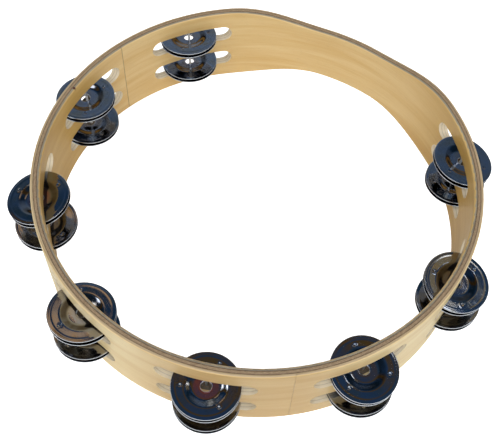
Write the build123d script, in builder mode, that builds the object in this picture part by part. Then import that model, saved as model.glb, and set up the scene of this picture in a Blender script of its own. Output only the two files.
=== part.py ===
from build123d import *

import os
from math import cos, radians, sin, tan

# Tambourine with no head: a round bent-wood shell with a hand grip scooped out of both edges,
# and eight stations of jingles, two slots at each, with a loose pair of jingles in every slot.
# Millimetres. The origin is in the plane of the lower edge, at the middle of the whole object's
# footprint, and +Z points up. The jingles reach further forward than back, so the shell's own axis
# stands behind the origin.
shell_axis_y = 7.0

# Shell: three plies bent into a ring and glued face to face
shell_diameter = 254.0
shell_depth = 56.2
ply_thickness = 1.8
glue_gap = 0.04
arris_radius = 1.0
seam_gap = 0.1
outer_seam_angle = -78.5
core_seam_angle = 30.0
inner_seam_angle = 137.3

# Hand grip: the same smooth scoop in the upper and the lower edge
grip_angle = 63.8
grip_scoop_depth = 9.0
grip_flat_half = 18.0
grip_ramp_end = 78.0

# Jingle slots: one angle per station, two rows of slots
station_angles = [114.0, 152.0, 188.0, 224.6, 261.1, 298.5, 333.3, 373.2]
slot_length = 54.0
slot_height = 11.5
lower_row_height = 17.2
upper_row_height = 39.0

# Pins: one steel wire per station, pushed up from the lower edge through both of its slots.
# They were set by hand, so each stands at its own angle, near the middle of its slots.
pin_angles = [114.3, 151.9, 189.3, 225.9, 261.4, 299.5, 333.9, 373.0]
pin_diameter = 1.4
pin_hole_clearance = 0.01
pin_hole_depth = 52.0
pin_recess = 0.8
pin_chamfer = 0.25

# Jingle: a stamped disc with a dished cup round its hole, a raised bead and three punch marks
jingle_diameter = 36.2
jingle_sheet = 0.5
jingle_hole_diameter = 5.8
cup_flat_radius = 7.3
cup_rim_radius = 11.6
cup_depth = 1.15
bead_inner_radius = 15.2
bead_outer_radius = 17.2
bead_height = 0.25
punch_circle_radius = 13.2
punch_radius = 0.9
punch_depth = 0.3

# Rest state: every jingle hangs forward on its pin, and friction holds each pair where it last slid.
# A pair is (height above the slot's floor in mm, lean outwards, lean anticlockwise, turn about the pin).
upper_pairs = [
    (3.9, 4.4, -0.5, 24),
    (0.9, 2.3, 1.0, 8),
    (3.6, 9.2, 0.3, 89),
    (3.8, -3.5, -2.0, 117),
    (0.2, 2.1, 0.0, 42),
    (0.0, 7.5, -0.3, 54),
    (1.0, 7.5, -2.3, 66),
    (1.6, 9.9, -1.9, 94),
]
lower_pairs = [
    (4.3, 0.6, -0.1, 83),
    (0.0, -2.1, 0.0, 40),
    (0.2, -0.4, 1.8, 15),
    (5.2, -2.7, 0.0, 6),
    (4.4, -0.8, -0.8, 70),
    (2.2, -3.1, -2.2, 100),
    (3.6, 1.1, -0.9, 30),
    (5.4, 1.0, 0.4, 60),
]
pair_splay = 2.0
jingle_hang = 2.15
rest_gap = 0.15

shell_radius = shell_diameter / 2
inner_radius = shell_radius - 3 * ply_thickness
wall_middle_radius = shell_radius - 1.5 * ply_thickness
jingle_radius = jingle_diameter / 2
half_sheet = jingle_sheet / 2
cut_reach = shell_radius + 10
pin_centres = [
    (wall_middle_radius * cos(radians(angle)), wall_middle_radius * sin(radians(angle)))
    for angle in pin_angles
]

# The shell's base: local coordinates are measured from the shell's axis
base = Plane(origin=(0, shell_axis_y, 0))

os.makedirs("parts", exist_ok=True)


def radial_plane(angle):
    """Plane through the shell's axis that faces outwards at the angle, with its X along the wall."""
    turn = radians(angle)
    along = (-sin(turn), cos(turn), 0)
    return Plane(origin=base.origin, x_dir=along, z_dir=(cos(turn), sin(turn), 0))


def scooped_edge(height, rise):
    """The edge of the shell seen from the grip side: level, down a ramp, level, and up again."""
    floor = height + rise
    level = ((1, 0), (1, 0))
    Line((-cut_reach, height), (-grip_ramp_end, height))
    Spline((-grip_ramp_end, height), (-grip_flat_half, floor), tangents=level)
    Line((-grip_flat_half, floor), (grip_flat_half, floor))
    Spline((grip_flat_half, floor), (grip_ramp_end, height), tangents=level)
    Line((grip_ramp_end, height), (cut_reach, height))


def bent_ply(inner, outer, seam_angle):
    """One ply of the shell: a scooped ring with its slots, and a butt seam where its ends meet."""
    with BuildPart() as ply:
        # Side view on the grip side, then on the plain side
        with BuildSketch(radial_plane(grip_angle)):
            with BuildLine():
                scooped_edge(0, grip_scoop_depth)
                scooped_edge(shell_depth, -grip_scoop_depth)
                Line((-cut_reach, 0), (-cut_reach, shell_depth))
                Line((cut_reach, 0), (cut_reach, shell_depth))
            make_face()
        extrude(amount=cut_reach)
        with BuildSketch(radial_plane(grip_angle)):
            with Locations((0, shell_depth / 2)):
                Rectangle(2 * cut_reach, shell_depth)
        extrude(amount=-cut_reach)
        # Plan view
        with BuildSketch(base):
            Circle(outer)
            Circle(inner, mode=Mode.SUBTRACT)
        extrude(amount=shell_depth, mode=Mode.INTERSECT)
        # The shell's own corners are eased: the outer ply's outside ones, the inner ply's inside ones
        walls = ply.faces().filter_by(GeomType.CYLINDER).sort_by(SortBy.RADIUS)
        if outer == shell_radius:
            fillet(walls[-1].edges().filter_by(Axis.Z, reverse=True), arris_radius)
        if inner == inner_radius:
            fillet(walls[0].edges().filter_by(Axis.Z, reverse=True), arris_radius)
        for angle in station_angles:
            with BuildSketch(radial_plane(angle)):
                with Locations((0, lower_row_height), (0, upper_row_height)):
                    SlotOverall(slot_length, slot_height)
            extrude(amount=cut_reach, mode=Mode.SUBTRACT)
        with BuildSketch(radial_plane(seam_angle)):
            with Locations((0, shell_depth / 2)):
                Rectangle(seam_gap, 2 * shell_depth)
        extrude(amount=cut_reach, mode=Mode.SUBTRACT)
    return ply


# Outer ply, whose face is the outside of the shell

outer_ply = bent_ply(shell_radius - ply_thickness + glue_gap, shell_radius, outer_seam_angle)
outer_ply.part.label = "shell_outer_ply"
export_step(outer_ply.part, "parts/shell_outer_ply.step")

# Core ply, which holds the pins

with BuildPart() as core_ply:
    add(bent_ply(inner_radius + ply_thickness, shell_radius - ply_thickness, core_seam_angle).part)
    with BuildSketch(base):
        with Locations(*pin_centres):
            Circle(pin_diameter / 2 + pin_hole_clearance)
    extrude(amount=pin_hole_depth, mode=Mode.SUBTRACT)
core_ply.part.label = "shell_core_ply"
export_step(core_ply.part, "parts/shell_core_ply.step")

# Inner ply, whose face is the inside of the shell

inner_ply = bent_ply(inner_radius, inner_radius + ply_thickness - glue_gap, inner_seam_angle)
inner_ply.part.label = "shell_inner_ply"
export_step(inner_ply.part, "parts/shell_inner_ply.step")

# Pins: eight straight wires, sunk a little below the lower edge

with BuildPart() as pins:
    with BuildSketch(base.offset(pin_recess)):
        with Locations(*pin_centres):
            Circle(pin_diameter / 2)
    extrude(amount=pin_hole_depth - 2 * pin_recess)
    chamfer(pins.edges().filter_by(GeomType.CIRCLE), pin_chamfer)
pins.part.label = "pins"
export_step(pins.part, "parts/pins.step")


# Jingle blank, with the middle of its sheet at Z=0 in the cup, and the cup opening upwards

def sheet_surface(level):
    """Half of the blank's section from the hole to the rim, on one side of the sheet."""
    cup = level
    flange = level + cup_depth
    flat = ((1, 0), (1, 0))
    bead_middle = (bead_inner_radius + bead_outer_radius) / 2
    Line((jingle_hole_diameter / 2, cup), (cup_flat_radius, cup))
    Spline((cup_flat_radius, cup), (cup_rim_radius, flange), tangents=flat)
    Line((cup_rim_radius, flange), (bead_inner_radius, flange))
    Spline((bead_inner_radius, flange), (bead_middle, flange + bead_height), tangents=flat)
    Spline((bead_middle, flange + bead_height), (bead_outer_radius, flange), tangents=flat)
    Line((bead_outer_radius, flange), (jingle_radius - half_sheet, flange))


with BuildPart() as jingle_blank:
    with BuildSketch(Plane.XZ):
        with BuildLine():
            sheet_surface(half_sheet)
            sheet_surface(-half_sheet)
            Line((jingle_hole_diameter / 2, -half_sheet), (jingle_hole_diameter / 2, half_sheet))
            ThreePointArc(
                (jingle_radius - half_sheet, cup_depth - half_sheet),
                (jingle_radius, cup_depth),
                (jingle_radius - half_sheet, cup_depth + half_sheet),
            )
        make_face()
    revolve(axis=Axis.Z)
    # Punch marks: a boss pressed down through the flange, with a dent over it
    with BuildSketch(Plane.XY.offset(cup_depth)):
        with PolarLocations(punch_circle_radius, 3):
            Circle(punch_radius)
    extrude(amount=-half_sheet - punch_depth, taper=15)
    with BuildSketch(Plane.XY.offset(cup_depth + half_sheet)):
        with PolarLocations(punch_circle_radius, 3):
            Circle(punch_radius - half_sheet)
    extrude(amount=-punch_depth, taper=15, mode=Mode.SUBTRACT)


def jingle_plane(pin, height, lean_out, lean_round, turn, cup_faces_up):
    """Plane of a hanging, leaning jingle: its origin is in the hole, and its Z leaves the cup's mouth."""
    outwards = Vector(*pin, 0).normalized()
    round_shell = Vector(0, 0, 1).cross(outwards)
    up = Vector(0, 0, 1) + outwards * tan(radians(lean_out)) + round_shell * tan(radians(lean_round))
    mouth = up if cup_faces_up else -up
    towards = outwards * cos(radians(turn)) + round_shell * sin(radians(turn))
    across = mouth.cross(towards)
    hole = base.from_local_coords(Vector(pin[0], pin[1] - jingle_hang, height))
    return Plane(origin=hole, x_dir=across.cross(mouth), z_dir=mouth)


# How far a jingle's rim reaches across the wall and along it, either side of its pin
wall_bow = wall_middle_radius - (wall_middle_radius**2 - jingle_radius**2) ** 0.5
reach_across = 1.5 * ply_thickness + wall_bow + jingle_hang
# Depth of a jingle from the middle of the sheet in its cup to the top of its bead
jingle_rise = cup_depth + half_sheet + bead_height


def hole_heights(row_height, lift, lean_out, lean_round):
    """Heights of a pair's holes, the lift above where the lower jingle would rest in the slot."""
    across = reach_across * tan(radians(abs(lean_out) + pair_splay))
    along = jingle_radius * tan(radians(abs(lean_round)))
    floor = row_height - slot_height / 2
    lower = floor + lift + rest_gap + jingle_rise + across + along
    upper = lower + jingle_sheet + cup_flat_radius * tan(radians(pair_splay)) + rest_gap
    return lower, upper


def export_jingle(name, plane):
    """Write one jingle as its own part, in its place."""
    with BuildPart(plane) as jingle:
        add(jingle_blank.part)
    jingle.part.label = name
    export_step(jingle.part, f"parts/{name}.step")


# Jingles: in each pair the cups stand back to back, the lower one upside down

rows = [("upper", upper_row_height, upper_pairs), ("lower", lower_row_height, lower_pairs)]
for row, row_height, pairs in rows:
    for station, (pin, pair) in enumerate(zip(pin_centres, pairs), start=1):
        lift, lean_out, lean_round, turn = pair
        lower, upper = hole_heights(row_height, lift, lean_out, lean_round)
        export_jingle(
            f"jingle_{station}_{row}_top",
            jingle_plane(pin, upper, lean_out, lean_round, turn, cup_faces_up=True),
        )
        export_jingle(
            f"jingle_{station}_{row}_bottom",
            jingle_plane(pin, lower, lean_out + pair_splay, lean_round, turn, cup_faces_up=False),
        )
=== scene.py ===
import math
import random

import bmesh
import bpy
import numpy as np
from mathutils import Matrix, Vector


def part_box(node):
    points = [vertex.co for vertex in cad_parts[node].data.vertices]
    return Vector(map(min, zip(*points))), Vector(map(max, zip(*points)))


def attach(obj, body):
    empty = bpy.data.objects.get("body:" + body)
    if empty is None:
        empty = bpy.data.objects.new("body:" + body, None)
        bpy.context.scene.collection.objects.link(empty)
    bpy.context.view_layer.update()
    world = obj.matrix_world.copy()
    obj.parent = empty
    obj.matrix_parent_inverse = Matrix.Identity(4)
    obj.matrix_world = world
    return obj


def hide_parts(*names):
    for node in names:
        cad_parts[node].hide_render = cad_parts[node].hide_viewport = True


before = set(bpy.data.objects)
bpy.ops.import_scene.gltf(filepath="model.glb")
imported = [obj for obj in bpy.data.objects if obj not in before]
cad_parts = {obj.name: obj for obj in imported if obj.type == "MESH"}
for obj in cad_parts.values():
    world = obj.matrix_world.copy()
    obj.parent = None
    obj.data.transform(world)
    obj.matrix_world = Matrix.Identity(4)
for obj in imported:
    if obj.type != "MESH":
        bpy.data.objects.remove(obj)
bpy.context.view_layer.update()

# A headless tambourine: a laminated bent-wood ring, eight wire pins and sixteen pairs of jingles.
# The shell and the pins are the CAD model's own meshes with new materials. Each jingle is spun
# here in finer detail, in its CAD jingle's place. Lengths named _MM are millimetres.

MM = 0.001
SEED = 4

# ---------------------------------------------------------------- sizes read from the frame

# The shell's axis is parallel to Z at this Y
AXIS_Y_MM = (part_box("shell_outer_ply")[0].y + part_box("shell_outer_ply")[1].y) / 2 / MM
OUTER_RADIUS_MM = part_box("shell_outer_ply")[1].x / MM
CORE_RADIUS_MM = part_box("shell_core_ply")[1].x / MM
INNER_RADIUS_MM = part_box("shell_inner_ply")[1].x / MM
DEPTH_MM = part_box("shell_outer_ply")[1].z / MM
PLY_MM = OUTER_RADIUS_MM - CORE_RADIUS_MM
JINGLES = sorted(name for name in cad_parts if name.startswith("jingle_"))


# ---------------------------------------------------------------- node helpers

class Shader:
    """A material's node tree, with short calls for the nodes used here."""

    def __init__(self, name):
        self.material = bpy.data.materials.new(name)
        self.material.use_nodes = True
        self.tree = self.material.node_tree
        self.tree.nodes.clear()
        self.output = self.tree.nodes.new("ShaderNodeOutputMaterial")

    def set(self, socket, value):
        """A socket takes a link if value is a socket, and a plain value otherwise."""
        if isinstance(value, bpy.types.NodeSocket):
            self.tree.links.new(value, socket)
        else:
            socket.default_value = value

    def math(self, operation, a, b=0.0, c=0.0, clamp=False):
        node = self.tree.nodes.new("ShaderNodeMath")
        node.operation = operation
        node.use_clamp = clamp
        for socket, value in zip(node.inputs, (a, b, c)):
            self.set(socket, value)
        return node.outputs[0]

    def length(self, a, b):
        """Length of the vector (a, b)."""
        squares = self.math("ADD", self.math("MULTIPLY", a, a), self.math("MULTIPLY", b, b))
        return self.math("SQRT", squares)

    def light_path(self, kind):
        """1 for rays of this kind and 0 for the others."""
        return self.tree.nodes.new("ShaderNodeLightPath").outputs[kind]

    def split(self, vector):
        node = self.tree.nodes.new("ShaderNodeSeparateXYZ")
        self.set(node.inputs[0], vector)
        return node.outputs

    def join(self, x, y, z):
        node = self.tree.nodes.new("ShaderNodeCombineXYZ")
        for socket, value in zip(node.inputs, (x, y, z)):
            self.set(socket, value)
        return node.outputs[0]

    def rotate_z(self, vector, angle):
        node = self.tree.nodes.new("ShaderNodeVectorRotate")
        node.rotation_type = "Z_AXIS"
        self.set(node.inputs["Vector"], vector)
        self.set(node.inputs["Angle"], angle)
        return node.outputs[0]

    def noise(self, vector, scale=1.0, detail=2.0, roughness=0.5, distortion=0.0):
        node = self.tree.nodes.new("ShaderNodeTexNoise")
        self.set(node.inputs["Vector"], vector)
        node.inputs["Scale"].default_value = scale
        node.inputs["Detail"].default_value = detail
        node.inputs["Roughness"].default_value = roughness
        node.inputs["Distortion"].default_value = distortion
        return node.outputs["Fac"]

    def step(self, value, low, high, to_low=0.0, to_high=1.0):
        """Smooth step from to_low at low to to_high at high."""
        node = self.tree.nodes.new("ShaderNodeMapRange")
        node.interpolation_type = "SMOOTHSTEP"
        for socket, v in zip(node.inputs, (value, low, high, to_low, to_high)):
            self.set(socket, v)
        return node.outputs[0]

    def ramp(self, value, stops):
        node = self.tree.nodes.new("ShaderNodeValToRGB")
        self.set(node.inputs[0], value)
        points = node.color_ramp.elements
        while len(points) < len(stops):
            points.new(1.0)
        for point, (place, colour) in zip(points, stops):
            point.position = place
            point.color = (*colour, 1.0)
        return node.outputs[0]

    def mix(self, share, a, b, blend="MIX"):
        node = self.tree.nodes.new("ShaderNodeMix")
        node.data_type = "RGBA"
        node.blend_type = blend
        self.set(node.inputs[0], share)
        # A colour mix uses the node's seventh and eighth inputs and its third output
        for socket, value in zip((node.inputs[6], node.inputs[7]), (a, b)):
            self.set(socket, value if isinstance(value, bpy.types.NodeSocket) else (*value, 1.0))
        return node.outputs[2]

    def bump(self, height, distance, strength=1.0, normal=None):
        node = self.tree.nodes.new("ShaderNodeBump")
        self.set(node.inputs["Height"], height)
        node.inputs["Distance"].default_value = distance
        node.inputs["Strength"].default_value = strength
        if normal is not None:
            self.set(node.inputs["Normal"], normal)
        return node.outputs[0]

    def finish(self, **inputs):
        """A Principled surface with these inputs, named as the node names them, with _ for a space."""
        node = self.tree.nodes.new("ShaderNodeBsdfPrincipled")
        for name, value in inputs.items():
            self.set(node.inputs[name.replace("_", " ")], value)
        self.tree.links.new(node.outputs[0], self.output.inputs[0])
        return self.material

    def vanish(self, share):
        """Make this share of the finished surface clear."""
        surface = self.output.inputs[0].links[0].from_socket
        clear = self.tree.nodes.new("ShaderNodeBsdfTransparent")
        either = self.tree.nodes.new("ShaderNodeMixShader")
        self.set(either.inputs[0], share)
        self.set(either.inputs[1], surface)
        self.set(either.inputs[2], clear.outputs[0])
        self.set(self.output.inputs[0], either.outputs[0])


def srgb(red, green, blue):
    """Linear colour from 0 to 255 display values."""
    return tuple((v / 255) ** 2.2 for v in (red, green, blue))


def add_to_scene(name, data):
    """A new object with this data, linked into the scene."""
    thing = bpy.data.objects.new(name, data)
    bpy.context.scene.collection.objects.link(thing)
    return thing


def square_sheet(name, half, material):
    """A flat square, half its side in metres, with one material."""
    data = bpy.data.meshes.new(name)
    corners = [(-half, -half, 0), (half, -half, 0), (half, half, 0), (-half, half, 0)]
    data.from_pydata(corners, [], [(0, 1, 2, 3)])
    data.materials.append(material)
    return add_to_scene(name, data)


# ---------------------------------------------------------------- wood

# The two rows of slots lie within this distance of the shell's mid height
SLOT_ZONE_MM = 17.2
# Painted shade under the jingles: the slots' floors are painted dark brown within this distance of a pin,
# fading out by the second distance
UNDER_JINGLE_SHADE_MM, SHADE_ENDS_MM = 10.0, 17.0
UNDER_JINGLE_SHADE_COLOUR = srgb(74, 58, 38)
# Slot wall colours: clean routed wood, painted paler with light
SLOT_PALE_AND_LIT_COLOURS = srgb(252, 232, 196), srgb(255, 244, 218)
GLUE_COLOUR = srgb(84, 62, 42)
SEAM_COLOUR = srgb(140, 108, 70)
KNOT_COLOUR = srgb(88, 44, 34)
# How strongly the dark glue shows at an edge, and how much less of it shows in a slot, whose walls are
# painted lit
GLUE_SHOWS, GLUE_LESS_IN_SLOT = 0.85, 0.6
# The wood is clear to reflected rays in two sectors: (its direction in degrees, the cosine of its half angle
# where it begins, and where it is full). The front one starts at this height.
CLEAR_BACK = (79.5, 0.0, 0.05)
CLEAR_FRONT = (280.5, 0.77, 0.81)
CLEAR_FRONT_ABOVE_MM = (43.5, 44.5)


def pin_places():
    """Where the eight pins stand, from the boxes of the discs that hang on them."""
    places = []
    for station in range(1, 9):
        low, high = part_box(f"jingle_{station}_upper_bottom")
        places.append(((low[0] + high[0]) / 2, (low[1] + high[1]) / 2))
    return places


def wood(name, seam_degrees, inner_mm, outer_mm, face, edge, crosswise=False, seam_dark=0.2, knot=None,
         painted_light_gains=None):
    """Bent veneer. face and edge are (pale, deep) colours of the ply's faces and of its cut edges.

    seam_dark is how dark the glue is that shows at the seam; knot is the angle of a fleck in the edge.
    painted_light_gains paints light and shade round the ring as changes of tone: (colour gain at the front
    and back, gain at the left and right, and the share of sideways at which the change starts and ends).
    """
    s = Shader(name)
    geometry = s.tree.nodes.new("ShaderNodeNewGeometry")
    place = s.tree.nodes.new("ShaderNodeTexCoord").outputs["Object"]
    # Cylinder coordinates in millimetres: round the ring from the ply's own seam, up, and outwards
    at_x, at_y, at_z = s.split(place)
    at_y = s.math("SUBTRACT", at_y, AXIS_Y_MM * MM)
    turned = s.rotate_z(s.join(at_x, at_y, at_z), math.radians(180 - seam_degrees))
    x, y, z = s.split(turned)
    radius = s.math("DIVIDE", s.length(x, y), MM)
    round_mm = s.math("MULTIPLY", s.math("ARCTAN2", y, x), (inner_mm + outer_mm) / 2)
    up_mm = s.math("DIVIDE", z, MM)
    # How squarely the surface faces the shell's axis: 1 on a ply's faces, 0 on its cut edges
    normal_x, normal_y, _ = s.split(geometry.outputs["Normal"])
    facing = s.math("ADD", s.math("MULTIPLY", normal_x, at_x), s.math("MULTIPLY", normal_y, at_y))
    facing = s.math("ABSOLUTE", s.math("DIVIDE", facing, s.math("MULTIPLY", radius, MM)))
    cut = s.step(facing, 0.75, 0.35)
    off_middle = s.math("ABSOLUTE", s.math("SUBTRACT", up_mm, DEPTH_MM / 2))
    in_slot = s.math("MULTIPLY", cut, s.step(off_middle, SLOT_ZONE_MM + 0.1, SLOT_ZONE_MM))
    along, across = (up_mm, round_mm) if crosswise else (round_mm, up_mm)

    def grain(length, width, **options):
        """Noise drawn out to this length and width, in millimetres."""
        stretched = s.join(
            s.math("DIVIDE", along, length), s.math("DIVIDE", across, width), s.math("DIVIDE", radius, width)
        )
        return s.noise(stretched, **options)

    figure = grain(95, 7.5, detail=2.0, distortion=0.6)
    streaks = grain(26, 0.55, detail=3.0, roughness=0.6)
    fibres = grain(9, 0.16, detail=2.0)
    flecks = s.step(grain(2.2, 0.22, detail=1.0), 0.67, 0.76)
    blotches = grain(45, 28, detail=1.0)

    tone = s.math("ADD", s.math("MULTIPLY", figure, 0.5), s.math("MULTIPLY", streaks, 0.32))
    tone = s.math("ADD", tone, s.math("MULTIPLY", blotches, 0.18))
    between = tuple((a + b) / 2 for a, b in zip(*face))
    face_colour = s.ramp(tone, [(0.36, face[1]), (0.5, between), (0.64, face[0])])
    face_colour = s.mix(s.math("MULTIPLY", flecks, 0.32), face_colour, tuple(0.45 * v for v in face[1]))
    fine = s.math("MULTIPLY", s.step(fibres, 0.35, 0.7), 0.10)
    face_colour = s.mix(fine, face_colour, (1, 1, 1), "SOFT_LIGHT")
    away_x, away_y = (s.math("DIVIDE", v, s.math("MULTIPLY", radius, MM)) for v in (at_x, at_y))
    # Painted light and shade: the veneer's colour is scaled by one gain at the front and back and another at
    # the sides
    if painted_light_gains is not None:
        middle_gain, side_gain, starts, ends = painted_light_gains
        sideways = s.step(s.math("ABSOLUTE", away_x), starts, ends)
        face_colour = s.mix(1.0, face_colour, s.mix(sideways, middle_gain, side_gain), "MULTIPLY")

    # Cut edges show the fibres as fine lines round the ring, dulled by handling
    lines = s.noise(
        s.join(s.math("DIVIDE", round_mm, 1.1 if crosswise else 14), s.math("DIVIDE", up_mm, 1.5),
               s.math("DIVIDE", radius, 0.22)), detail=3.0, roughness=0.65)
    edge_colour = s.ramp(lines, [(0.32, edge[1]), (0.68, edge[0])])
    # The slots' walls are paler than the handled edges: partly clean routed wood, partly painted light
    slot_colour_painted_light = s.mix(s.step(lines, 0.3, 0.7), *SLOT_PALE_AND_LIT_COLOURS)
    # Painted shade: under the jingles the slot's floor is painted dark brown, fading towards the open ends
    nearest = 1.0
    for pin_x, pin_y in pin_places():
        off_x = s.math("SUBTRACT", at_x, pin_x)
        off_y = s.math("SUBTRACT", s.math("ADD", at_y, AXIS_Y_MM * MM), pin_y)
        nearest = s.math("MINIMUM", nearest, s.length(off_x, off_y))
    under_jingle_shade = s.math("MULTIPLY", s.step(nearest, SHADE_ENDS_MM * MM, UNDER_JINGLE_SHADE_MM * MM), 0.9)
    slot_colour_painted_light = s.mix(under_jingle_shade, slot_colour_painted_light, UNDER_JINGLE_SHADE_COLOUR)
    edge_colour = s.mix(in_slot, edge_colour, slot_colour_painted_light)
    colour = s.mix(cut, face_colour, edge_colour)
    # The eased corner is painted paler: partly wear from sanding and hands, partly a painted highlight
    eased_wear_and_highlight = s.math("MULTIPLY", s.step(facing, 0.97, 0.8), s.step(facing, 0.3, 0.6))
    pale_wear_and_highlight = tuple(min(1.0, 1.15 * v) for v in face[0])
    colour = s.mix(s.math("MULTIPLY", eased_wear_and_highlight, 0.35), colour, pale_wear_and_highlight)
    # Dark glue along both joints of the ply
    depth = s.math("MINIMUM", s.math("SUBTRACT", radius, inner_mm), s.math("SUBTRACT", outer_mm, radius))
    patchy = s.step(grain(7, 2.5, detail=2.0), 0.2, 0.5, 0.55, 1.0)
    glue = s.math("MULTIPLY", s.step(depth, 0.36, 0.1), patchy)
    inside = s.step(s.math("SUBTRACT", OUTER_RADIUS_MM - 0.5, radius), 0.0, 0.2)
    outside = s.step(s.math("SUBTRACT", radius, INNER_RADIUS_MM - PLY_MM + 0.5), 0.0, 0.2)
    glue = s.math("MULTIPLY", glue, s.math("MULTIPLY", s.math("MULTIPLY", inside, outside), cut))
    glue_shows = s.math("SUBTRACT", GLUE_SHOWS, s.math("MULTIPLY", in_slot, GLUE_LESS_IN_SLOT))
    colour = s.mix(s.math("MULTIPLY", glue, glue_shows), colour, GLUE_COLOUR)
    # A thin line of glue down the seam
    from_seam = s.math("SUBTRACT", math.pi * (inner_mm + outer_mm) / 2, s.math("ABSOLUTE", round_mm))
    seam = s.math("MULTIPLY", s.step(from_seam, 0.35, 0.12), seam_dark)
    colour = s.mix(seam, colour, SEAM_COLOUR)
    if knot is not None:
        spot_x = s.math("SUBTRACT", at_x, math.cos(math.radians(knot)) * (inner_mm + 0.9) * MM)
        spot_y = s.math("SUBTRACT", at_y, math.sin(math.radians(knot)) * (inner_mm + 0.9) * MM)
        near_spot = s.step(s.length(spot_x, spot_y), 0.0011, 0.0006)
        spot = s.math("MULTIPLY", near_spot, s.step(up_mm, DEPTH_MM - 2, DEPTH_MM - 1.5))
        colour = s.mix(spot, colour, KNOT_COLOUR)

    relief = s.math("ADD", s.math("MULTIPLY", streaks, 0.6), s.math("MULTIPLY", fibres, 0.4))
    relief = s.math("SUBTRACT", relief, s.math("MULTIPLY", flecks, 0.5))
    bumped = s.bump(relief, 0.00006, 0.55)
    bumped = s.bump(s.math("MULTIPLY", lines, cut), 0.00012, 0.6, bumped)
    rough = s.math("ADD", s.math("MULTIPLY", streaks, 0.16), s.math("MULTIPLY", cut, 0.12))
    rough = s.math("ADD", rough, 0.34)
    s.finish(
        Base_Color=colour, Roughness=rough, Normal=bumped, Coat_Weight=0.22, Coat_Roughness=0.3,
        Specular_IOR_Level=0.45,
    )

    def sector(degrees, low, high):
        """1 in the part of the ring that lies in this direction from its axis."""
        turn = math.radians(degrees)
        east = s.math("MULTIPLY", away_x, math.cos(turn))
        north = s.math("MULTIPLY", away_y, math.sin(turn))
        return s.step(s.math("ADD", east, north), low, high)

    # The leaning jingles at the back, and the upper ones at the front, reflect the room past the shell
    front = s.math("MULTIPLY", sector(*CLEAR_FRONT), s.step(up_mm, *CLEAR_FRONT_ABOVE_MM))
    passed = s.math("MAXIMUM", sector(*CLEAR_BACK), front)
    s.vanish(s.math("MULTIPLY", s.light_path("Is Glossy Ray"), passed))
    return s.material


def dress_shell():
    """Each ply gets its own veneer, and the seams stay in the places the CAD model cuts them."""
    pale = srgb(238, 207, 149)
    warm = srgb(220, 179, 113)
    # Painted light and shade round the ring: the outer ply's last entry darkens its front and back and
    # lightens its sides, and the inner ply's darkens its sides
    looks = {
        "shell_outer_ply": (-78.5, OUTER_RADIUS_MM - PLY_MM, OUTER_RADIUS_MM, (pale, warm),
                            (srgb(236, 212, 170), srgb(182, 152, 112)), False, 0.2, None,
                            ((0.77, 0.73, 0.65), (1.10, 1.24, 1.48), 0.2, 0.6)),
        "shell_core_ply": (30.0, CORE_RADIUS_MM - PLY_MM, CORE_RADIUS_MM, (pale, warm),
                           (srgb(206, 178, 142), srgb(148, 120, 90)), True),
        "shell_inner_ply": (137.3, INNER_RADIUS_MM - PLY_MM, INNER_RADIUS_MM, (pale, warm),
                            (srgb(192, 180, 156), srgb(134, 124, 106)), False, 0.75, 157.0,
                            ((1.0, 1.0, 0.95), (0.82, 0.74, 0.46), 0.72, 0.97)),
    }
    for node, look in looks.items():
        dress(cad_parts[node], wood(f"{node}_veneer", *look))


def dress(thing, material):
    """Put one material on every slot of an object."""
    if not thing.material_slots:
        thing.data.materials.append(material)
    for material_slot in thing.material_slots:
        material_slot.material = material


# ---------------------------------------------------------------- pins

def pin_steel():
    """Drawn steel wire: fine lines along it, dulled in patches."""
    s = Shader("pin_drawn_steel")
    place = s.tree.nodes.new("ShaderNodeTexCoord").outputs["Object"]
    x, y, z = s.split(place)
    fine_x, fine_y = s.math("MULTIPLY", x, 9000), s.math("MULTIPLY", y, 9000)
    drawn = s.noise(s.join(fine_x, fine_y, s.math("MULTIPLY", z, 120)), detail=2.0)
    patches = s.noise(place, scale=420, detail=3.0)
    colour = s.mix(s.step(patches, 0.45, 0.75), srgb(206, 207, 208), srgb(150, 148, 142))
    rough = s.math("ADD", 0.18, s.math("MULTIPLY", patches, 0.3))
    return s.finish(
        Base_Color=colour, Metallic=1.0, Roughness=rough, Normal=s.bump(drawn, 0.00002, 0.5),
    )


# ---------------------------------------------------------------- jingles

HOLE_MM, CUP_FLAT_MM, CUP_RIM_MM = 2.9, 7.3, 11.6
CUP_DEPTH_MM, SHEET_MM = 1.15, 0.5
# The hole's edge is rounded over this width, and its narrowest point is the hole's own radius
LIP_MM = 0.1
# The punch draws the hole's edge down by this much, less than the room between two paired cups
DRAW_MM = 0.04
BEAD_MM, BEAD_HALF_MM, BEAD_HEIGHT_MM = 16.3, 1.1, 0.05
RIM_MM = 18.1
PUNCH_CIRCLE_MM, PUNCH_MM, PUNCH_DEPTH_MM = 13.2, 0.95, 0.42
WAVES_MM = ((38, 0.06), (27, 0.035), (16, 0.012), (9, 0.004))
# The cup's floor is stiffer, so it keeps only this share of the unevenness, out to CALM_MM
CALM_SHARE, CALM_MM, FREE_MM = 0.5, 8.0, 12.0


def smooth(t):
    t = np.clip(t, 0.0, 1.0)
    return t * t * (3 - 2 * t)


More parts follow.
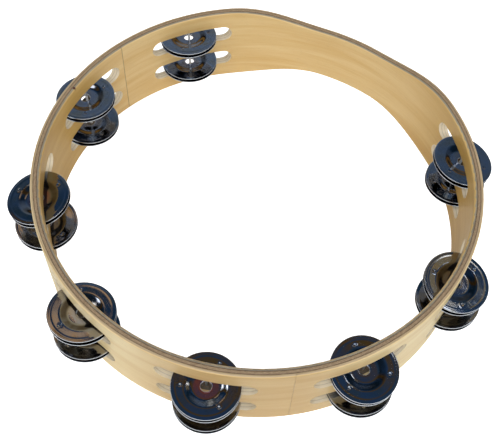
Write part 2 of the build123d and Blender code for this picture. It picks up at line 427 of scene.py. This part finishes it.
def sheet_height(x, y):
    """Height in mm of the middle of the sheet above the cup's floor, at points of the disc."""
    radius = np.hypot(x, y)
    height = CUP_DEPTH_MM * smooth((radius - CUP_FLAT_MM + 0.5) / (CUP_RIM_MM - CUP_FLAT_MM + 1.0))
    height += BEAD_HEIGHT_MM * smooth(1 - abs(radius - BEAD_MM) / BEAD_HALF_MM)
    # The edge of the hole is drawn down a little by the punch
    height -= DRAW_MM * smooth((HOLE_MM + 0.7 - radius) / 0.7)
    # Three punch marks: a dimple with a low lip
    for k in range(3):
        centre = math.radians(120 * k)
        across = np.hypot(x - PUNCH_CIRCLE_MM * math.cos(centre), y - PUNCH_CIRCLE_MM * math.sin(centre))
        height -= PUNCH_DEPTH_MM * smooth(1.15 - across / PUNCH_MM)
        height += 0.05 * np.exp(-((across - 1.25) / 0.3) ** 2)
    return height


def ring_radii():
    """Radii from the hole to the rim: close together wherever the section bends."""
    stretches = [(HOLE_MM + LIP_MM, 3.6, 3), (3.6, 6.9, 4), (6.9, 9.4, 8), (9.4, 12.0, 9), (12.0, 14.4, 8),
                 (14.4, 15.1, 1), (15.1, 17.3, 9), (17.3, RIM_MM - SHEET_MM / 2, 2)]
    radii = []
    for start, end, count in stretches:
        radii += [start + (end - start) * i / count for i in range(count)]
    return radii + [RIM_MM - SHEET_MM / 2]


def ring_angles():
    """Angles round the disc, with extra ones across each punch mark."""
    angles = {2 * math.pi * i / 96 for i in range(96)}
    spread = PUNCH_MM * 1.7 / PUNCH_CIRCLE_MM
    for k in range(3):
        for i in range(-6, 7):
            angles.add((math.radians(120 * k) + spread * i / 6) % (2 * math.pi))
    ordered = sorted(angles)
    return [a for a, b in zip(ordered, ordered[1:] + [7.0]) if b - a > 0.004]


def pressed_disc():
    """The pressed disc in its own axes: cup opening towards +Z, hole at the origin."""
    radii, angles = ring_radii(), np.array(ring_angles())
    half = SHEET_MM / 2
    section = [(r, half) for r in radii]
    round_rim = np.radians((65, 35, 0, -35, -65))
    section += [(RIM_MM - half + half * math.cos(a), half * math.sin(a)) for a in round_rim]
    section += [(r, -half) for r in reversed(radii)]
    section += [(HOLE_MM + 0.4 * LIP_MM, -half * 0.7), (HOLE_MM, 0.0), (HOLE_MM + 0.4 * LIP_MM, half * 0.7)]
    mesh = bmesh.new()
    rings = []
    for radius, side in section:
        sheet = min(radius, RIM_MM - half)
        heights = sheet_height(sheet * np.cos(angles), sheet * np.sin(angles)) + side
        points = zip(radius * np.cos(angles), radius * np.sin(angles), heights)
        rings.append([mesh.verts.new(Vector(point) * MM) for point in points])
    for near, far in zip(rings, rings[1:] + rings[:1]):
        for i in range(len(angles)):
            j = (i + 1) % len(angles)
            mesh.faces.new((near[i], near[j], far[j], far[i])).smooth = True
    bmesh.ops.recalc_face_normals(mesh, faces=mesh.faces)
    data = bpy.data.meshes.new("pressed_disc")
    mesh.to_mesh(data)
    mesh.free()
    return data


def bent_copy(blank, name, seed):
    """A copy of the blank with its own unevenness, and its points' first places kept for its material."""
    data = blank.copy()
    data.name = name
    points = np.empty(len(data.vertices) * 3)
    data.vertices.foreach_get("co", points)
    points = points.reshape(-1, 3) / MM
    local = data.attributes.new("disc", "FLOAT_VECTOR", "POINT")
    local.data.foreach_set("vector", points.astype(np.float32).ravel())
    chance = random.Random(SEED + seed)
    out = smooth((np.hypot(points[:, 0], points[:, 1]) - CALM_MM) / (FREE_MM - CALM_MM))
    share = CALM_SHARE + (1 - CALM_SHARE) * out
    for wavelength, height in WAVES_MM:
        angle, phase = chance.uniform(0, math.pi), chance.uniform(0, 2 * math.pi)
        along = points[:, 0] * math.cos(angle) + points[:, 1] * math.sin(angle)
        points[:, 2] += share * height * np.sin(2 * math.pi * along / wavelength + phase)
    data.vertices.foreach_set("co", (points * MM).ravel())
    return data


def jingle_place(node):
    """The CAD jingle's axes, from its mesh: hole at the origin, X to a punch mark, Z out of the cup."""
    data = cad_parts[node].data
    data.calc_loop_triangles()
    count = len(data.loop_triangles)
    area, corners = np.empty(count), np.empty(count * 3, dtype=np.int32)
    data.loop_triangles.foreach_get("area", area)
    data.loop_triangles.foreach_get("vertices", corners)
    points = np.empty(len(data.vertices) * 3)
    data.vertices.foreach_get("co", points)
    centres = points.reshape(-1, 3)[corners.reshape(-1, 3)].mean(axis=1) / MM
    middle = np.average(centres, axis=0, weights=area)
    offset = centres - middle
    # The axis is the direction in which the sheet is thinnest
    axis = np.linalg.eigh((offset * area[:, None]).T @ offset)[1][:, 0]
    height = offset @ axis
    distance = np.linalg.norm(offset - height[:, None] * axis, axis=1)
    # The cup's floor lies on the far side of the middle from the cup's mouth
    in_cup = distance < CUP_FLAT_MM
    floor = np.average(height[in_cup], weights=area[in_cup])
    if floor > 0:
        axis, height, floor = -axis, -height, -floor
    side = np.cross(axis, (0.0, 0.0, 1.0) if abs(axis[2]) < 0.5 else (0.0, 1.0, 0.0))
    side /= np.linalg.norm(side)
    other = np.cross(axis, side)
    # Only the punch marks' bosses stand below the flange, so their third harmonic points at one of them
    boss = (abs(distance - PUNCH_CIRCLE_MM) < 1.0) & (height < floor + CUP_DEPTH_MM - SHEET_MM * 0.66)
    angle = np.arctan2(offset[boss] @ other, offset[boss] @ side)
    turn = math.atan2((area[boss] * np.sin(3 * angle)).sum(), (area[boss] * np.cos(3 * angle)).sum()) / 3
    towards = Vector(side) * math.cos(turn) + Vector(other) * math.sin(turn)
    up = Vector(axis)
    axes = Matrix((towards, up.cross(towards), up)).transposed().to_4x4()
    return Matrix.Translation((Vector(middle) + up * floor) * MM) @ axes


def jingle_steel(name, seed, plum_reflection):
    """Plated pressed steel: turned marks round the disc, fine scratches, smears, spots and worn edges, with
    painted shade on the cup's slope and a painted plum reflection on its floor.

    plum_reflection is the strength of the plum reflection painted on the cup's floor.
    """
    s = Shader(name)
    attribute = s.tree.nodes.new("ShaderNodeAttribute")
    attribute.attribute_name = "disc"
    x, y, _ = s.split(attribute.outputs["Vector"])
    radius = s.length(x, y)
    turning = s.noise(s.join(s.math("MULTIPLY", radius, 6.5), seed * 3.1, 0.0), detail=3.0, roughness=0.7)
    smears = s.noise(s.join(s.math("MULTIPLY", x, 0.16), s.math("MULTIPLY", y, 0.16), seed * 1.7), detail=3.0)
    spots = s.noise(s.join(s.math("MULTIPLY", x, 1.4), s.math("MULTIPLY", y, 1.4), seed * 2.3), detail=2.0)
    swung = s.rotate_z(s.join(x, y, seed), 0.6 + 0.7 * seed)
    sx, sy, _ = s.split(swung)
    scratches = s.noise(s.join(s.math("MULTIPLY", sx, 0.12), s.math("MULTIPLY", sy, 6.0), seed), detail=2.0)
    scratches = s.step(scratches, 0.62, 0.72)
    wear = s.step(radius, RIM_MM - 0.7, RIM_MM - 0.05)
    hole = s.step(radius, HOLE_MM + 0.5, HOLE_MM)
    worn = s.math("MAXIMUM", wear, hole)
    colour = s.mix(s.step(smears, 0.35, 0.7), STEEL_COOL, STEEL_WARM)
    colour = s.mix(s.math("MULTIPLY", s.step(spots, 0.62, 0.75), 0.25), colour, STEEL_DULL)
    # Painted reflection: a plum tint on the cup's floor, patchy with the smears
    on_floor = s.step(radius, CUP_FLAT_MM + 0.2, CUP_FLAT_MM - 1.6)
    plum_on_floor = s.math("MULTIPLY", on_floor, s.step(smears, 0.25, 0.6, 0.7, 1.0))
    colour = s.mix(s.math("MULTIPLY", plum_on_floor, plum_reflection), colour, STEEL_PLUM_REFLECTION)
    # Painted shade on the pressed slope of the cup, darkest half way up it and weaker where the plum
    # reflection is painted
    from_floor = s.step(radius, CUP_FLAT_MM - 0.2, CUP_FLAT_MM + 1.2)
    slope = s.math("MULTIPLY", from_floor, s.step(radius, CUP_RIM_MM + 0.4, CUP_RIM_MM - 1.4))
    slope_shade = s.math("MULTIPLY", slope, s.step(smears, 0.3, 0.6, 0.5, 0.85))
    slope_shade = s.math("MULTIPLY", slope_shade, 1 - 0.6 * plum_reflection)
    colour = s.mix(slope_shade, colour, STEEL_SLOPE_SHADE)
    colour = s.mix(s.math("MULTIPLY", worn, 0.8), colour, STEEL_RUBBED)
    rough = s.math("ADD", 0.05, s.math("MULTIPLY", smears, 0.06))
    rough = s.math("ADD", rough, s.math("MULTIPLY", scratches, 0.05))
    rough = s.math("ADD", rough, s.math("MULTIPLY", worn, 0.10))
    normal = s.bump(turning, 0.000012, 0.5)
    normal = s.bump(scratches, 0.000006, 0.4, normal)
    return s.finish(Base_Color=colour, Metallic=1.0, Roughness=rough, Normal=normal)


STEEL_COOL = srgb(152, 160, 174)
STEEL_WARM = srgb(162, 158, 152)
STEEL_DULL = srgb(96, 92, 86)
# Painted shade on the cup's slope
STEEL_SLOPE_SHADE = srgb(74, 66, 60)
# Painted plum reflection on the cup's floor
STEEL_PLUM_REFLECTION = (1.0, 0.36, 0.34)
# Jingles whose cup floors get the strongest painted plum reflection
PLUM_REFLECTION_SHARES = {"jingle_5_upper_top": 0.9, "jingle_3_upper_top": 0.35}
STEEL_RUBBED = srgb(232, 232, 232)
SLIGHT_PLUM_REFLECTION = 0.04


def spin_jingles():
    """One finer jingle in each CAD jingle's place, riding on the same body."""
    blank = pressed_disc()
    for seed, node in enumerate(JINGLES):
        data = bent_copy(blank, f"{node}_disc", seed)
        data.transform(jingle_place(node))
        piece = add_to_scene(f"{node}_disc", data)
        dress(piece, jingle_steel(f"{node}_plated", seed, PLUM_REFLECTION_SHARES.get(node, SLIGHT_PLUM_REFLECTION)))
        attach(piece, node)
        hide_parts(node)
    bpy.data.meshes.remove(blank)


# ---------------------------------------------------------------- floor, light and camera

def floor():
    """A pale floor just under the shell."""
    s = Shader("floor_pale")
    place = s.tree.nodes.new("ShaderNodeTexCoord").outputs["Object"]
    mottle = s.noise(place, scale=35.0, detail=3.0)
    colour = s.mix(mottle, (0.88, 0.88, 0.88), (0.92, 0.92, 0.92))
    # The camera sees clean white paper; the object gets a little light back from it
    glow = s.math("ADD", FLOOR_GLOW, s.light_path("Is Camera Ray"))
    material = s.finish(
        Base_Color=colour, Roughness=0.8, Emission_Color=(1, 1, 1, 1), Emission_Strength=glow,
    )
    # Nothing of it shows from below, so that the object's underside can be looked at
    s.vanish(s.tree.nodes.new("ShaderNodeNewGeometry").outputs["Backfacing"])
    thing = square_sheet("floor", FLOOR_HALF, material)
    thing.location.z = -FLOOR_GAP


FLOOR_GLOW = 0.12
FLOOR_HALF, FLOOR_GAP = 1.5, 0.0004
ZENITH = 0.25
# Soft lamps far away: (azimuth and elevation in degrees, narrowness, strength)
LOBES = [(240, 45, 8, 1.7), (300, 45, 8, 1.6), (0, 45, 8, 0.25), (205, 5, 20, 1.7), (335, 5, 20, 1.7),
         (90, 8, 8, 0.7)]


def sky():
    """A soft room: broad lamps near the horizon, and less light from straight above."""
    world = bpy.data.worlds.new("studio")
    world.use_nodes = True
    bpy.context.scene.world = world
    s = Shader.__new__(Shader)
    s.tree = world.node_tree
    direction = s.tree.nodes.new("ShaderNodeTexCoord").outputs["Generated"]
    x, y, z = s.split(direction)
    up = s.math("MAXIMUM", z, 0.0)
    total = s.math("MULTIPLY", s.math("MULTIPLY", up, up), ZENITH)
    for azimuth, elevation, narrowness, strength in LOBES:
        turn, rise = math.radians(azimuth), math.radians(elevation)
        towards = (math.cos(turn) * math.cos(rise), math.sin(turn) * math.cos(rise), math.sin(rise))
        dot = s.math("MULTIPLY", x, towards[0])
        dot = s.math("ADD", dot, s.math("MULTIPLY", y, towards[1]))
        dot = s.math("ADD", dot, s.math("MULTIPLY", z, towards[2]))
        lobe = s.math("POWER", s.math("MAXIMUM", dot, 0.0), narrowness)
        total = s.math("ADD", total, s.math("MULTIPLY", lobe, strength))
    # The camera itself sees plain white behind everything
    total = s.math("MAXIMUM", total, s.light_path("Is Camera Ray"))
    background = s.tree.nodes["Background"]
    background.inputs["Color"].default_value = (1, 1, 1, 1)
    s.set(background.inputs["Strength"], total)


def ceiling():
    """A wide dark ceiling a metre up, seen only in reflections, with the things that hang there."""
    s = Shader("ceiling_dark")
    x, y, _ = s.split(s.tree.nodes.new("ShaderNodeTexCoord").outputs["Object"])
    ripple = s.math("SUBTRACT", s.noise(s.join(x, y, 0.0), scale=4.0, detail=3.0), 0.5)
    wavy = s.math("ADD", y, s.math("MULTIPLY", ripple, 0.06))

    def window(low_x, high_x, low_y, high_y, soft):
        """1 inside a rectangle with soft edges."""
        inside_x = s.math("MULTIPLY", s.step(x, low_x, low_x + soft), s.step(x, high_x, high_x - soft))
        inside_y = s.math("MULTIPLY", s.step(y, low_y, low_y + soft), s.step(y, high_y, high_y - soft))
        return s.math("MULTIPLY", inside_x, inside_y)

    # Navy overhead, paling to slate towards the back, duller on the right, and dark beyond
    slate = s.math("MULTIPLY", s.step(y, 0.5, 1.15), s.step(x, 0.3, 0.95, 1.0, 0.42))
    colour = s.mix(slate, CEILING_NAVY, CEILING_SLATE)
    colour = s.mix(s.math("MULTIPLY", s.step(y, 0.4, 0.5), s.step(y, 0.72, 0.6)), colour, CEILING_DEEP)
    colour = s.mix(s.step(y, 1.62, 1.75), colour, CEILING_FAR)
    # A brown beam that slants from left to right, and warmer things further off
    beyond = s.math("SUBTRACT", s.math("ADD", wavy, s.math("MULTIPLY", x, 0.24)), 0.168)
    beam = s.math("MULTIPLY", s.step(beyond, -0.05, 0.05), s.step(beyond, 0.16, 0.12))
    beam = s.math("MULTIPLY", beam, s.step(x, 0.5, 0.42))
    colour = s.mix(beam, colour, CEILING_BROWN)
    colour = s.mix(window(0.46, 0.60, 0.16, 0.46, 0.03), colour, CEILING_TAUPE)
    colour = s.mix(window(-0.46, -0.26, 0.38, 0.59, 0.03), colour, CEILING_TAN)
    colour = s.mix(window(-4.0, 4.0, 2.0, 3.3, 0.2), colour, CEILING_BRONZE)
    # Lamps: two small ones to the sides and a broad one behind the camera
    colour = s.mix(window(-0.74, -0.46, 0.12, 0.32, 0.06), colour, CEILING_LAMP)
    colour = s.mix(window(0.47, 0.61, 0.175, 0.265, 0.035), colour, CEILING_LAMP)
    colour = s.mix(s.step(y, -0.5, -0.8), colour, CEILING_WINDOW)
    glow = s.tree.nodes.new("ShaderNodeEmission")
    s.set(glow.inputs["Color"], colour)
    s.tree.links.new(glow.outputs[0], s.output.inputs[0])
    thing = square_sheet("ceiling", CEILING_HALF, s.material)
    thing.location.z = CEILING_HEIGHT
    for ray in ("camera", "diffuse", "transmission", "volume_scatter", "shadow"):
        setattr(thing, f"visible_{ray}", False)


CEILING_HALF, CEILING_HEIGHT = 4.0, 1.04
CEILING_NAVY = (0.028, 0.068, 0.135)
CEILING_DEEP = (0.016, 0.046, 0.090)
CEILING_SLATE = (0.200, 0.250, 0.320)
CEILING_FAR = (0.012, 0.012, 0.014)
CEILING_BROWN = (0.130, 0.075, 0.020)
CEILING_TAN = (0.78, 0.50, 0.29)
CEILING_BRONZE = (0.60, 0.33, 0.08)
CEILING_TAUPE = (0.380, 0.290, 0.160)
CEILING_LAMP = (5.0, 5.2, 5.4)
CEILING_WINDOW = (1.5, 1.6, 1.7)


def camera():
    """From the front, well above the rim, with a slight roll."""
    axis = Vector((0.0, AXIS_Y_MM, 0.0)) * MM
    target = axis + Vector((-2.8, -2.05, 0.0)) * MM
    distance, elevation, roll = 518.4 * MM, math.radians(57.26), math.radians(3.48)
    data = bpy.data.cameras.new("camera")
    data.sensor_fit = "HORIZONTAL"
    data.sensor_width = 36.0
    data.lens = 60.14
    thing = add_to_scene("camera", data)
    away = Vector((0.0, -math.cos(elevation), math.sin(elevation)))
    thing.location = axis + distance * away
    aim = (target - thing.location).to_track_quat("-Z", "Y").to_matrix()
    thing.rotation_mode = "QUATERNION"
    thing.rotation_quaternion = (aim @ Matrix.Rotation(roll, 3, "Z")).to_quaternion()
    bpy.context.scene.camera = thing


def studio():
    """Everything round the object, and the way its colours are shown."""
    sky()
    ceiling()
    floor()
    camera()
    bpy.context.scene.view_settings.view_transform = "Standard"


dress_shell()
dress(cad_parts["pins"], pin_steel())
spin_jingles()
studio()
